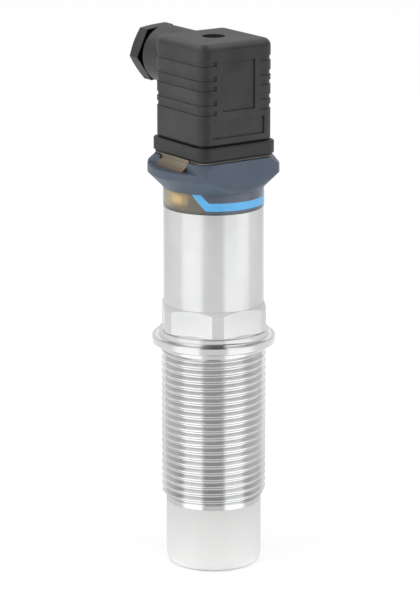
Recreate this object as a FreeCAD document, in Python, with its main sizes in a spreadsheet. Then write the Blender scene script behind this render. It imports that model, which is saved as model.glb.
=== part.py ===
import FreeCAD, Part
import math
import os
import Sketcher
from FreeCAD import Placement, Rotation, Vector

# Capacitive level switch with a G 1 process thread and a square valve plug on top.
# Frame: the origin is the centre of the flat sensor tip and +Z runs up the rod. The cable gland
# of the plug points along -X, the recessed panels of the plug face +X and the lamp window faces -Y.

document = FreeCAD.newDocument("LevelSwitch")
sheet = document.addObject("Spreadsheet::Sheet", "Sizes")
sub_parts = []


class Size:
    """A length in millimetres together with the sheet expression that gives it."""

    def __init__(self, value, text):
        self.value = value
        self.text = text

    def __add__(self, other):
        other = as_size(other)
        return Size(self.value + other.value, f"({self.text} + {other.text})")

    def __sub__(self, other):
        other = as_size(other)
        return Size(self.value - other.value, f"({self.text} - {other.text})")

    def __radd__(self, other):
        return as_size(other) + self

    def __mul__(self, factor):
        return Size(self.value * factor, f"({self.text} * {factor})")

    def __truediv__(self, factor):
        return Size(self.value / factor, f"({self.text} / {factor})")

    def __neg__(self):
        return Size(-self.value, f"(-1 * {self.text})")


def as_size(value):
    return value if isinstance(value, Size) else Size(float(value), str(float(value)))


# Driving dimensions, in millimetres

driving = {
    # Sensor tip and process connection
    "fit_gap": 0.05,
    "slide_gap": 0.3,
    "tip_radius": 15.15,
    "tip_height": 20.85,
    "tip_rounding": 3.0,
    "tip_wall": 3.2,
    "spigot_radius": 13.0,
    "spigot_wall": 2.1,
    "spigot_length": 12.15,
    "disc_thickness": 1.0,
    "post_height": 3.0,
    "guard_rise": 3.5,
    "guard_length": 9.0,
    "guard_wall": 1.2,
    "lead_radius": 1.2,
    "seal_place": 6.0,
    "seal_depth": 1.25,
    "tip_seal_groove": 2.0,
    "thread_radius": 16.6245,
    "thread_pitch": 2.3091,
    "thread_length": 48.0,
    "lead_in": 1.6,
    "band_height": 1.5,
    "neck_height": 2.55,
    "neck_depth": 0.5,
    "collar_radius": 19.55,
    "collar_height": 2.4,
    "collar_edge": 0.25,
    "shoulder_radius": 17.3,
    "shoulder_height": 2.4,
    "shoulder_cove": 1.2,
    "undercut_height": 0.5,
    "undercut_depth": 0.8,
    "hex_height": 8.2,
    "hex_across_flats": 32.0,
    "hex_corner_turning": 1.5,
    "hex_bevel": 0.95,
    "channel_wall": 3.1,
    "tube_spigot_height": 5.1,
    # Housing tube and light ring
    "tube_radius": 15.85,
    "tube_wall": 1.1,
    "tube_length": 31.4,
    "tube_edge": 0.25,
    "ring_proud": 0.1,
    "ring_height": 6.1,
    "ring_wall": 2.65,
    "ring_spigot_length": 7.3,
    "ring_ledge_depth": 1.5,
    "ring_ledge_width": 0.9,
    "ring_joint_height": 3.6,
    "ring_joint_step": 1.4,
    "ring_seal_place": 2.8,
    "ring_seal_depth": 1.1,
    "ring_seal_groove": 1.6,
    "stripe_rise": 1.0,
    "stripe_height": 2.5,
    "stripe_depth": 0.45,
    "stripe_gap_low": 11.6,
    "stripe_gap_high": 7.97,
    "stripe_end_width": 2.49,
    "stripe_end_slant": 1.8,
    # Flared head cover and lamp window
    "flare_overhang": 4.8,
    "flare_rise": 4.8,
    "rim_height": 2.9,
    "crown_height": 2.3,
    "crown_inset": 2.35,
    "roof_thickness": 2.1,
    "cover_wall": 2.05,
    "flat_setback": 4.2,
    "flat_lean": 1.35,
    "flat_blend": 1.2,
    "ledge_drop": 0.5,
    "window_half": 7.5,
    "window_clearance": 0.5,
    "window_reach": 3.0,
    "window_rise": 0.7,
    "window_height": 4.65,
    "window_lip": 0.25,
    "window_lip_depth": 1.1,
    "brow_height": 1.2,
    "guide_half": 3.0,
    "guide_thickness": 1.55,
    # Pin base with its blades and the thread insert
    "plate_thickness": 0.95,
    "plate_margin": 0.5,
    "plate_rounding": 3.4,
    "base_margin": 2.0,
    "base_depth": 7.2,
    "boss_radius": 4.2,
    "boss_height": 5.05,
    "blade_circle": 9.0,
    "blade_width": 6.3,
    "blade_thickness": 0.8,
    "blade_height": 11.05,
    "earth_extra": 1.0,
    "tail_width": 2.0,
    "tail_length": 3.7,
    "wire_radius": 0.55,
    "wire_bend": 1.5,
    "insert_radius": 2.5,
    "insert_length": 8.0,
    # Gasket
    "gasket_rounding": 3.6,
    "gasket_height": 4.2,
    "gasket_floor_height": 2.05,
    "gasket_lip": 1.3,
    "gasket_edge": 0.5,
    # Plug
    "plug_half": 13.6,
    "plug_rounding": 3.2,
    "plug_height": 31.35,
    "plug_reveal": 0.65,
    "plug_edge": 2.4,
    "plug_wall": 2.1,
    "plug_roof": 3.0,
    "chamber_rounding": 1.6,
    "foot_inset": 0.7,
    "groove_depth": 0.33,
    "groove_height": 1.5,
    "groove_drop": 6.1,
    "groove_wide_step": 4.55,
    "groove_narrow_step": 3.05,
    "groove_end": 8.3,
    "panel_half": 6.1,
    "panel_height": 15.6,
    "panel_drop": 5.65,
    "panel_depth": 0.45,
    "low_panel_half": 9.7,
    "low_panel_height": 5.5,
    "low_panel_rise": 1.9,
    "well_radius": 3.65,
    "sleeve_wall": 1.25,
    "sleeve_floor": 1.25,
    "block_height": 17.9,
    "socket_height": 9.4,
    "socket_thickness": 2.2,
    "clamp_depth": 4.9,
    "clamp_height": 5.0,
    "terminal_head_radius": 2.3,
    "terminal_head_height": 1.9,
    "driver_slot": 0.8,
    "screw_radius": 1.5,
    "screw_engagement": 5.4,
    "screw_head_radius": 2.75,
    "screw_head_height": 2.7,
    "screw_washer_height": 0.95,
    # Cable gland
    "gland_radius": 9.2,
    "gland_wall": 1.8,
    "gland_reach": 12.45,
    "gland_floor": 2.4,
    "cable_radius": 4.6,
    "seal_length": 5.0,
    "seal_squeeze": 0.6,
    "thrust_length": 1.0,
    "nut_gap": 2.8,
    "nut_height": 5.0,
    "nut_across_flats": 16.6,
    "nut_edge": 0.75,
    # Electronics
    "board_thickness": 1.6,
    "board_margin": 2.0,
    "board_drop": 27.0,
    "board_rise": 5.2,
    "rail_drop": 8.0,
    "rail_width": 2.6,
    "holder_flange": 2.0,
    "led_board_thickness": 1.2,
    "led_height": 1.0,
}

# Each driving dimension has a cell of its own, and its name here stands for that cell.
for row, (name, value) in enumerate(driving.items(), 1):
    sheet.set(f"A{row}", name)
    sheet.set(f"B{row}", str(value))
    sheet.setAlias(f"B{row}", name)
    globals()[name] = Size(value, f"Sizes.{name}")

document.recompute()


# Heights and radii that follow from them

spigot_top = tip_height + spigot_length
cavity_radius = spigot_radius - spigot_wall
disc_radius = cavity_radius - fit_gap
disc_top = tip_wall + disc_thickness
post_top = disc_top + post_height
guard_bottom = disc_top + guard_rise
tip_seal_height = tip_height + seal_place
channel_bottom = spigot_top + slide_gap

thread_depth = thread_pitch * 0.6403
thread_root_radius = thread_radius - thread_depth
thread_start = tip_height + band_height
thread_end = thread_start + thread_length
collar_bottom = thread_end + neck_height
collar_top = collar_bottom + collar_height
hex_bottom = collar_top + shoulder_height
hex_top = hex_bottom + hex_height
hex_turned_radius = hex_across_flats / 2 + hex_corner_turning
channel_radius = thread_root_radius - channel_wall
tube_spigot_top = hex_top + tube_spigot_height
tube_bore = tube_radius - tube_wall
tube_top = hex_top + tube_length

ring_radius = tube_radius + ring_proud
ring_bore = ring_radius - ring_wall
ring_foot = tube_top - ring_spigot_length
ring_ledge = tube_top - ring_ledge_depth
ring_top = tube_top + ring_height
ring_joint_radius = ring_radius - ring_joint_step
ring_joint_top = ring_top + ring_joint_height
ring_seal_height = ring_foot + ring_seal_place
stripe_bottom = tube_top + stripe_rise
stripe_top = stripe_bottom + stripe_height

flare_radius = ring_radius + flare_overhang
flare_low = ring_top + flare_rise
flare_high = flare_low + rim_height
cover_top = flare_high + crown_height
cover_roof = cover_top - roof_thickness
crown_radius = flare_radius - crown_inset
flat_low = flare_radius - flat_setback
flat_high = flat_low - flat_lean
ledge_top = flare_high - ledge_drop

base_radius = blade_circle + base_margin
base_bottom = cover_top - base_depth
plate_half = plug_half + plate_margin
plate_top = cover_top + plate_thickness
boss_top = plate_top + boss_height
blade_top = plate_top + blade_height
tail_bottom = base_bottom - tail_length
insert_bottom = boss_top - insert_length
screw_end = boss_top - screw_engagement

window_back = base_radius + fit_gap * 5
window_top = cover_top + window_rise
window_bottom = window_top - window_height
window_brow = plate_half + window_clearance
window_nose = window_brow + window_reach
guide_front = window_back + guide_thickness

gasket_top = plate_top + gasket_height
gasket_floor = plate_top + gasket_floor_height
foot_half = plug_half - foot_inset
gasket_inside = foot_half + slide_gap + fit_gap
gasket_half = gasket_inside + gasket_lip

plug_bottom = gasket_top + plug_reveal
plug_top = plug_bottom + plug_height
foot_bottom = gasket_floor + slide_gap
chamber_half = plug_half - plug_wall
chamber_top = plug_top - plug_roof
block_bottom = foot_bottom + slide_gap
block_top = block_bottom + block_height
sleeve_bottom = block_top + fit_gap
well_floor = sleeve_bottom + sleeve_floor
sleeve_radius = well_radius + sleeve_wall
screw_hole_radius = screw_radius + slide_gap - fit_gap
washer_radius = well_radius - slide_gap - fit_gap * 3
socket_bottom = block_bottom + slide_gap * 2
socket_top = socket_bottom + socket_height
clamp_top = socket_top + clamp_height
socket_outer = blade_circle + socket_thickness / 2
socket_half = blade_width / 2 + slide_gap
terminal_place = socket_outer - clamp_depth / 2

gland_height = plug_top - gland_radius
gland_bore = gland_radius - gland_wall
gland_end = plug_half + gland_reach
gland_ledge = plug_half + gland_floor
seal_radius = gland_bore - fit_gap * 3
shank_radius = gland_bore - fit_gap * 2
thrust_start = gland_ledge + seal_length + fit_gap * 2
shank_end = thrust_start + thrust_length + fit_gap
nut_seat = gland_end + nut_gap

board_half = channel_radius - board_margin
board_bottom = tube_spigot_top - board_drop
board_top = ring_ledge + board_rise
led_board_top = ring_ledge + led_board_thickness

HALF_ACROSS = math.cos(math.pi / 6)


# Sketch helpers

def pin(sketch, geometry, point, across, up):
    """Hold one point of a sketch at its distances from the origin, which is point 1 of the axis -1."""
    for kind, axis, size in (("DistanceX", -2, across), ("DistanceY", -1, up)):
        size = as_size(size)
        if size.value == 0:
            sketch.addConstraint(Sketcher.Constraint("PointOnObject", geometry, point, axis))
        else:
            rule = Sketcher.Constraint(kind, -1, 1, geometry, point, size.value)
            sketch.setExpression(f"Constraints[{sketch.addConstraint(rule)}]", size.text)


def unit(start, end):
    """The direction of an axis-parallel step from one corner to the next."""
    across = as_size(end[0]).value - as_size(start[0]).value
    up = as_size(end[1]).value - as_size(start[1]).value
    length = math.hypot(across, up)
    return round(across / length), round(up / length)


def outline(sketch, corners, closed=True):
    """Straight edges through corners; a corner's third value rounds it between two axis-parallel edges."""
    count = len(corners)
    stations = []
    for number, corner in enumerate(corners):
        across, up = as_size(corner[0]), as_size(corner[1])
        if len(corner) == 2:
            stations.append(((across, up), (across, up), None))
            continue
        radius = as_size(corner[2])
        back = unit(corner, corners[number - 1])
        ahead = unit(corner, corners[(number + 1) % count])
        entry = (across + radius * back[0], up + radius * back[1])
        leave = (across + radius * ahead[0], up + radius * ahead[1])
        stations.append((entry, leave, (radius, back, ahead)))
    lines = []
    for number in range(count if closed else count - 1):
        start = stations[number][1]
        end = stations[(number + 1) % count][0]
        ends = [Vector(point[0].value, point[1].value, 0) for point in (start, end)]
        line = sketch.addGeometry(Part.LineSegment(*ends), False)
        pin(sketch, line, 1, *start)
        lines.append(line)
    for number in range(len(lines)):
        follower = (number + 1) % count
        bend = stations[follower][2]
        if bend is None:
            if closed or number + 1 < len(lines):
                rule = Sketcher.Constraint("Coincident", lines[number], 2, lines[follower % len(lines)], 1)
                sketch.addConstraint(rule)
            else:
                pin(sketch, lines[number], 2, *stations[follower][0])
            continue
        pin(sketch, lines[number], 2, *stations[follower][0])
        entry, leave, (radius, back, ahead) = stations[follower]
        centre = Vector(leave[0].value + radius.value * back[0], leave[1].value + radius.value * back[1], 0)
        turn_left = ahead[0] * back[1] - ahead[1] * back[0] > 0
        ends = [math.atan2(p[1].value - centre.y, p[0].value - centre.x) for p in (entry, leave)]
        if not turn_left:
            ends.reverse()
        circle = Part.Circle(centre, Vector(0, 0, 1), radius.value)
        arc = sketch.addGeometry(Part.ArcOfCircle(circle, *ends), False)
        first, second = (1, 2) if turn_left else (2, 1)
        sketch.addConstraint(Sketcher.Constraint("Coincident", arc, first, lines[number], 2))
        sketch.addConstraint(Sketcher.Constraint("Coincident", arc, second, lines[follower % len(lines)], 1))
        rule = sketch.addConstraint(Sketcher.Constraint("Radius", arc, radius.value))
        sketch.setExpression(f"Constraints[{rule}]", radius.text)


def rectangle(sketch, half_x, half_y, across=0, up=0, rounding=None):
    across, up = as_size(across), as_size(up)
    corner = () if rounding is None else (rounding,)
    outline(sketch, [
        (across - half_x, up - half_y) + corner,
        (across + half_x, up - half_y) + corner,
        (across + half_x, up + half_y) + corner,
        (across - half_x, up + half_y) + corner,
    ])


def circle(sketch, radius, across=0, up=0):
    radius = as_size(radius)
    centre = Vector(as_size(across).value, as_size(up).value, 0)
    ring = sketch.addGeometry(Part.Circle(centre, Vector(0, 0, 1), radius.value), False)
    pin(sketch, ring, 3, across, up)
    rule = sketch.addConstraint(Sketcher.Constraint("Radius", ring, radius.value))
    sketch.setExpression(f"Constraints[{rule}]", radius.text)


def hexagon(sketch, across_flats, across=0, up=0):
    """A hexagon with two flats at right angles to the sketch's first axis."""
    side = across_flats / 2
    corners = []
    for number in range(6):
        angle = math.radians(30 + 60 * number)
        corners.append((
            as_size(across) + side * round(math.cos(angle) / HALF_ACROSS, 6),
            as_size(up) + side * round(math.sin(angle) / HALF_ACROSS, 6),
        ))
    outline(sketch, corners)


# Feature helpers

def new_body(label):
    body = document.addObject("PartDesign::Body", label)
    body.Label = label
    sub_parts.append(body)
    return body


def bind(feature, name, size):
    size = as_size(size)
    setattr(feature, name, size.value)
    feature.setExpression(name, size.text)


def new_sketch(body, name, plane="XY_Plane", offset=0):
    sketch = body.newObject("Sketcher::SketchObject", name)
    support = [face for face in body.Origin.OriginFeatures if face.Role == plane]
    sketch.AttachmentSupport = [(support[0], "")]
    sketch.MapMode = "FlatFace"
    offset = as_size(offset)
    sketch.AttachmentOffset = Placement(Vector(0, 0, offset.value), Rotation())
    sketch.setExpression("AttachmentOffset.Base.z", offset.text)
    return sketch


def turn(body, name, corners, kind="Revolution"):
    """Revolve a half section (radius, height) about the body's Z axis."""
    sketch = new_sketch(body, f"{name}_section", "XZ_Plane")
    outline(sketch, corners)
    feature = body.newObject(f"PartDesign::{kind}", name)
    feature.Profile = sketch
    feature.ReferenceAxis = (sketch, ["V_Axis"])
    feature.Angle = 360
    document.recompute()
    return feature


def raise_from(body, name, start, length, draw, plane="XY_Plane", both=False):
    """Pad a sketch from a start offset along its plane's normal, or both ways about that offset."""
    sketch = new_sketch(body, f"{name}_outline", plane, start)
    draw(sketch)
    feature = body.newObject("PartDesign::Pad", name)
    feature.Profile = sketch
    feature.Midplane = both
    bind(feature, "Length", length)
    document.recompute()
    return feature


def cut_from(body, name, start, length, draw, plane="XY_Plane", both=False):
    """Pocket a sketch from a start offset along its plane's normal, or both ways about that offset."""
    before = body.Shape.Volume
    sketch = new_sketch(body, f"{name}_outline", plane, start)
    draw(sketch)
    feature = body.newObject("PartDesign::Pocket", name)
    feature.Profile = sketch
    feature.Reversed = not both
    feature.Midplane = both
    bind(feature, "Length", length)
    document.recompute()
    if body.Shape.Volume >= before:
        raise ValueError(f"{body.Label}: {name} cuts nothing")
    return feature


def soften(body, name, size, chosen, kind="Fillet"):
    """Round or bevel the edges of the body's last feature that the test picks."""
    base = body.Tip
    edges = [f"Edge{number}" for number, edge in enumerate(base.Shape.Edges, 1) if chosen(edge)]
    if not edges:
        raise ValueError(f"{body.Label}: {name} finds no edge")
    feature = body.newObject(f"PartDesign::{kind}", name)
    feature.Base = (base, edges)
    bind(feature, "Radius" if kind == "Fillet" else "Size", size)
    document.recompute()
    return feature


def pattern(body, name, features, count, angle):
    """Repeat features about the body's Z axis over the given angle."""
    axis = [line for line in body.Origin.OriginFeatures if line.Role == "Z_Axis"]
    repeat = body.newObject("PartDesign::PolarPattern", name)
    repeat.Originals = features
    repeat.Axis = (axis[0], [""])
    repeat.Angle = angle
    repeat.Occurrences = count
    body.Tip = repeat
    document.recompute()
    return repeat


def level(height):
    """Picks edges that lie wholly at one height."""
    wanted = as_size(height).value
    return lambda edge: all(abs(vertex.Z - wanted) < 0.001 for vertex in edge.Vertexes)


def beyond(edge, radius):
    """True where an edge's middle lies farther from the Z axis than the radius."""
    middle = edge.valueAt((edge.FirstParameter + edge.LastParameter) / 2)
    return math.hypot(middle.x, middle.y) > as_size(radius).value


# Sensor tip

def sensor_cap():
    """The white tip: a closed cup whose reduced spigot seals inside the process connection."""
    body = new_body("sensor_cap")
    turn(body, "cup", [
        (0, 0),
        (tip_radius, 0),
        (tip_radius, tip_height),
        (spigot_radius, tip_height),
        (spigot_radius, tip_seal_height - tip_seal_groove / 2),
        (spigot_radius - seal_depth, tip_seal_height - tip_seal_groove / 2),
        (spigot_radius - seal_depth, tip_seal_height + tip_seal_groove / 2),
        (spigot_radius, tip_seal_height + tip_seal_groove / 2),
        (spigot_radius, spigot_top),
        (cavity_radius, spigot_top),
        (cavity_radius, tip_wall),
        (0, tip_wall),
    ])
    soften(body, "tip_round", tip_rounding, level(0))


def o_ring(label, groove_radius, wall_radius, height):
    """A rubber ring that fills the space between its groove and the wall it seals against."""
    ring = document.addObject("Part::Torus", label)
    ring.Label = label
    bind(ring, "Radius1", (groove_radius + wall_radius) / 2)
    bind(ring, "Radius2", (wall_radius - groove_radius) / 2 - fit_gap / 2)
    ring.Placement = Placement(Vector(0, 0, height.value), Rotation())
    ring.setExpression("Placement.Base.z", height.text)
    sub_parts.append(ring)


def active_electrode():
    """A thin disc behind the face of the tip with a solder post for the lead."""
    body = new_body("active_electrode")
    turn(body, "disc", [
        (0, tip_wall),
        (disc_radius, tip_wall),
        (disc_radius, disc_top),
        (lead_radius, disc_top),
        (lead_radius, post_top),
        (0, post_top),
    ])


def electrode_carrier():
    """The insulating core that spaces the guard electrode from the disc."""
    body = new_body("electrode_carrier")
    bore = lead_radius + fit_gap * 2
    core = disc_radius - guard_wall
    turn(body, "core", [
        (bore, disc_top),
        (disc_radius, disc_top),
        (disc_radius, guard_bottom),
        (core, guard_bottom),
        (core, tip_height),
        (bore, tip_height),
    ])


def guard_electrode():
    """A metal sleeve round the carrier that shields the disc from the wall of the vessel."""
    body = new_body("guard_electrode")
    bore = disc_radius - guard_wall + fit_gap
    turn(body, "sleeve", [
        (bore, guard_bottom),
        (disc_radius, guard_bottom),
        (disc_radius, guard_bottom + guard_length),
        (bore, guard_bottom + guard_length),
    ])


def probe_lead():
    """The screened lead from the electrode's post to the lower edge of the board."""
    lead = document.addObject("Part::Cylinder", "probe_lead")
    lead.Label = "probe_lead"
    bind(lead, "Radius", lead_radius)
    bind(lead, "Height", board_bottom - post_top)
    lead.Placement = Placement(Vector(0, 0, post_top.value), Rotation())
    lead.setExpression("Placement.Base.z", post_top.text)
    sub_parts.append(lead)


# Metal housing

def process_connection():
    """One turned piece: pipe thread, sealing collar, hexagon and the spigot for the tube."""
    body = new_body("process_connection")
    bore = spigot_radius + fit_gap
    tube_seat = tube_bore - fit_gap
    neck_radius = thread_radius - neck_depth
    undercut = shoulder_radius - undercut_depth
    turn(body, "blank", [
        (bore, tip_height),
        (thread_root_radius, tip_height),
        (thread_root_radius, thread_start),
        (thread_radius, thread_start + lead_in),
        (thread_radius, thread_end),
        (neck_radius, thread_end + neck_depth),
        (neck_radius, collar_bottom),
        (collar_radius - collar_edge, collar_bottom),
        (collar_radius, collar_bottom + collar_edge),
        (collar_radius, collar_top - collar_edge),
        (collar_radius - collar_edge, collar_top),
        (shoulder_radius, collar_top),
        (shoulder_radius, hex_bottom - undercut_height),
        (undercut, hex_bottom - undercut_height),
        (undercut, hex_bottom),
        (hex_turned_radius, hex_bottom),
        (hex_turned_radius, hex_top - hex_bevel),
        (tube_radius, hex_top),
        (tube_seat, hex_top),
        (tube_seat, tube_spigot_top),
        (channel_radius, tube_spigot_top),
        (channel_radius, channel_bottom),
        (bore, channel_bottom),
    ])
    shelf = collar_radius - collar_edge - shoulder_radius
    cove = min(shoulder_cove, shelf * 0.9, key=lambda size: size.value)
    soften(body, "collar_cove", cove, lambda edge: level(collar_top)(edge) and abs(
        math.hypot(edge.Vertexes[0].X, edge.Vertexes[0].Y) - shoulder_radius.value) < 0.001)

    def flats(sketch):
        circle(sketch, hex_turned_radius * 1.5)
        hexagon(sketch, hex_across_flats)

    cut_from(body, "hexagon", hex_bottom, hex_height, flats)
    cut_thread(body)


def cut_thread(body):
    """The helical thread groove with 55 degree flanks, a flat root, and a run-out below the collar."""
    before = body.Shape.Volume
    flank = math.tan(math.radians(27.5))
    mouth_radius = thread_radius + slide_gap
    root_half = (thread_pitch - thread_depth * (2 * flank)) / 4
    mouth_half = root_half + (mouth_radius - thread_root_radius) * flank
    low = thread_start - thread_pitch / 2
    sketch = new_sketch(body, "thread_section", "XZ_Plane")
    outline(sketch, [
        (thread_root_radius, low - root_half),
        (mouth_radius, low - mouth_half),
        (mouth_radius, low + mouth_half),
        (thread_root_radius, low + root_half),
    ])
    helix = body.newObject("PartDesign::SubtractiveHelix", "thread")
    helix.Profile = sketch
    helix.ReferenceAxis = (sketch, ["V_Axis"])
    helix.Mode = "pitch-height-angle"
    bind(helix, "Pitch", thread_pitch)
    bind(helix, "Height", thread_length + thread_pitch / 2)
    document.recompute()
    if body.Shape.Volume >= before:
        raise ValueError("the thread cuts nothing")


def housing_tube():
    body = new_body("housing_tube")
    turn(body, "tube", [
        (tube_bore, hex_top),
        (tube_radius, hex_top),
        (tube_radius, tube_top - tube_edge),
        (tube_radius - tube_edge, tube_top),
        (tube_bore, tube_top),
    ])


# Light ring with its coloured stripe

def stripe_band():
    """The light blue stripe let into the ring, with slanted ends beside the clear front."""
    body = new_body("stripe_band")
    inner = ring_radius - stripe_depth
    turn(body, "band", [
        (inner, stripe_bottom),
        (ring_radius, stripe_bottom),
        (ring_radius, ring_top),
        (inner, ring_top),
    ])
    reach = ring_radius + stripe_height
    upper = (ring_top - stripe_top) / 2

    def above(sketch):
        rectangle(sketch, reach, upper, 0, stripe_top + upper)

    def front(sketch):
        outline(sketch, [
            (-stripe_gap_low, stripe_bottom),
            (stripe_gap_low, stripe_bottom),
            (stripe_gap_high, ring_top),
            (-stripe_gap_high, ring_top),
        ])

    def beside(side):
        slant_end = stripe_gap_high + stripe_end_width
        return lambda sketch: outline(sketch, [
            ((slant_end + stripe_end_slant) * side, stripe_top),
            (reach * side, stripe_top),
            (reach * side, ring_top),
            (slant_end * side, ring_top),
        ])

    cut_from(body, "back_top", -reach, reach, above, "XZ_Plane")
    cut_from(body, "clear_front", 0, reach, front, "XZ_Plane")
    cut_from(body, "left_top", 0, reach, beside(-1), "XZ_Plane")
    cut_from(body, "right_top", 0, reach, beside(1), "XZ_Plane")
    return body


def light_ring(stripe):
    """The smoked light ring: a spigot in the tube, the visible band and a collar in the cover."""
    body = document.addObject("PartDesign::Body", "ring_blank")
    spigot = tube_bore - fit_gap
    groove = spigot - ring_seal_depth
    ledge = ring_bore - ring_ledge_width
    turn(body, "ring", [
        (ledge, ring_foot),
        (spigot, ring_foot),
        (spigot, ring_seal_height - ring_seal_groove / 2),
        (groove, ring_seal_height - ring_seal_groove / 2),
        (groove, ring_seal_height + ring_seal_groove / 2),
        (spigot, ring_seal_height + ring_seal_groove / 2),
        (spigot, tube_top),
        (ring_radius, tube_top),
        (ring_radius, ring_top),
        (ring_joint_radius, ring_top),
        (ring_joint_radius, ring_joint_top),
        (ring_bore, ring_joint_top),
        (ring_bore, ring_ledge),
        (ledge, ring_ledge),
    ])
    ring = document.addObject("Part::Cut", "light_ring")
    ring.Label = "light_ring"
    ring.Base = body
    ring.Tool = stripe
    document.recompute()
    sub_parts.append(ring)


# Head cover and lamp window

def head_cover():
    """The flared cover: round below, leaning flats above, and a ledge under the lamp window."""
    body = new_body("head_cover")
    joint = ring_joint_radius + fit_gap
    bore = ring_radius - cover_wall
    opening = base_radius + fit_gap * 2
    turn(body, "shell", [
        (joint, ring_top),
        (ring_radius, ring_top),
        (flare_radius, flare_low),
        (flare_radius, flare_high),
        (crown_radius, cover_top),
        (opening, cover_top),
        (opening, cover_roof),
        (bore, cover_roof),
        (bore, ring_joint_top + fit_gap * 3),
        (joint, ring_joint_top + fit_gap * 3),
    ])
    far = flare_radius * 2

    def flat(side, foot):
        """The section outside one flat, which leans inward from the ring's top to the cover's top."""
        rise = (foot - ring_top).value / (cover_top - ring_top).value
        return lambda sketch: outline(sketch, [
            ((flat_low - flat_lean * rise) * side, foot),
            (far * side, foot),
            (far * side, cover_top),
            (flat_high * side, cover_top),
        ])

    cut_from(body, "gland_side_flat", 0, far * 2, flat(-1, ring_top), "XZ_Plane", True)
    cut_from(body, "panel_side_flat", 0, far * 2, flat(1, ring_top), "XZ_Plane", True)
    cut_from(body, "back_flat", 0, far * 2, flat(1, ring_top), "YZ_Plane", True)
    leaning = [face for face in body.Tip.Shape.Faces
               if face.Surface.TypeId == "Part::GeomPlane" and 0.05 < face.normalAt(0, 0).z < 0.5]

    def flat_edge(edge):
        """True for the edges of the leaning flats, except the straight ones along the cover's top."""
        low = min(vertex.Z for vertex in edge.Vertexes)
        return low < flare_high.value - 0.1 and any(
            edge.isSame(border) for face in leaning for border in face.Edges)

    soften(body, "flat_blends", flat_blend, flat_edge)
    cut_from(body, "window_flat", 0, far * 2, flat(-1, ledge_top), "YZ_Plane", True)
    slot_half = (window_nose - window_back) / 2 + fit_gap
    cut_from(body, "window_slot", window_bottom - fit_gap, window_height, lambda sketch: rectangle(
        sketch, window_half + fit_gap, slot_half, 0, -((window_nose + window_back) / 2)))


def lamp_window():
    """The clear window with the light guide that reaches down to the lamp below it."""
    body = new_body("lamp_window")
    plate_edge = plate_half + fit_gap * 2
    roof = cover_top - fit_gap
    raise_from(body, "window", 0, window_half * 2, lambda sketch: outline(sketch, [
        (-window_back, window_bottom),
        (-window_nose, window_bottom),
        (-window_nose, ledge_top - window_lip),
        (-(window_nose - window_lip_depth), ledge_top + window_lip * 3),
        (-window_brow, window_top - brow_height),
        (-window_brow, window_top),
        (-plate_edge, window_top),
        (-plate_edge, roof),
        (-window_back, roof),
    ]), "YZ_Plane", True)
    guide_bottom = led_board_top + led_height + slide_gap
    raise_from(body, "guide", guide_bottom, window_bottom - guide_bottom, lambda sketch: rectangle(
        sketch, guide_half, guide_thickness / 2, 0, -((guide_front + window_back) / 2)))


# Pin base

def pin_base():
    """The square plate and round neck that carry the blades, with a boss for the screw's insert."""
    body = new_body("pin_base")
    raise_from(body, "neck", base_bottom, base_depth, lambda sketch: circle(sketch, base_radius))
    raise_from(body, "plate", cover_top, plate_thickness, lambda sketch: rectangle(
        sketch, plate_half, plate_half, 0, 0, plate_rounding))
    raise_from(body, "boss", plate_top, boss_height, lambda sketch: circle(sketch, boss_radius))
    cut_from(body, "insert_hole", insert_bottom, insert_length, lambda sketch: circle(sketch, insert_radius))

    def slots(sketch):
        long_half = blade_width / 2 + fit_gap / 2
        short_half = blade_thickness / 2 + fit_gap / 2
        for side in (-1, 1):
            rectangle(sketch, short_half, long_half, blade_circle * side, 0)
            rectangle(sketch, long_half, short_half, 0, blade_circle * side)

    cut_from(body, "blade_slots", base_bottom, plate_top - base_bottom, slots)


def draw_blade(top):
    half, tail, edge = blade_width / 2, tail_width / 2, blade_thickness

    def draw(sketch):
        outline(sketch, [
            (-tail, tail_bottom),
            (tail, tail_bottom),
            (tail, base_bottom),
            (half, base_bottom),
            (half, top - edge),
            (half - edge, top),
            (-(half - edge), top),
            (-half, top - edge),
            (-half, base_bottom),
            (-tail, base_bottom),
        ])

    return draw


def contact_blades():
    body = new_body("contact_blades")
    blade = raise_from(body, "blade", blade_circle, blade_thickness, draw_blade(blade_top), "YZ_Plane", True)
    pattern(body, "three_blades", [blade], 3, 180)


def earth_blade():
    """The earth blade on the window side, longer so that it makes contact first."""
    body = new_body("earth_blade")
    raise_from(body, "blade", blade_circle, blade_thickness, draw_blade(blade_top + earth_extra),
               "XZ_Plane", True)


def thread_insert():
    body = new_body("thread_insert")
    bore = screw_radius + fit_gap * 2
    turn(body, "bush", [
        (bore, insert_bottom),
        (insert_radius, insert_bottom),
        (insert_radius, boss_top),
        (bore, boss_top),
    ])


def connector_leads():
    """Four short leads from the blades' tails to the top of the board."""
    body = new_body("connector_leads")
    level_run = board_top - wire_bend

    def ends(sketch):
        circle(sketch, wire_radius, board_half - wire_radius * 2)
        circle(sketch, wire_radius, -(board_half - wire_radius * 2))

    raise_from(body, "straight_leads", board_top, tail_bottom - board_top, ends)
    for name, side in (("back", 1), ("front", -1)):
        path = new_sketch(body, f"{name}_path", "YZ_Plane")
        outline(path, [
            (blade_circle * side, tail_bottom),
            (blade_circle * side, level_run, wire_bend),
            (board_thickness / 2 * side, level_run),
        ], closed=False)
        section = new_sketch(body, f"{name}_section", "XY_Plane", tail_bottom)
        circle(section, wire_radius, 0, blade_circle * side)
        lead = body.newObject("PartDesign::AdditivePipe", f"{name}_lead")
        lead.Profile = section
        lead.Spine = path
        document.recompute()


# Electronics

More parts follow.
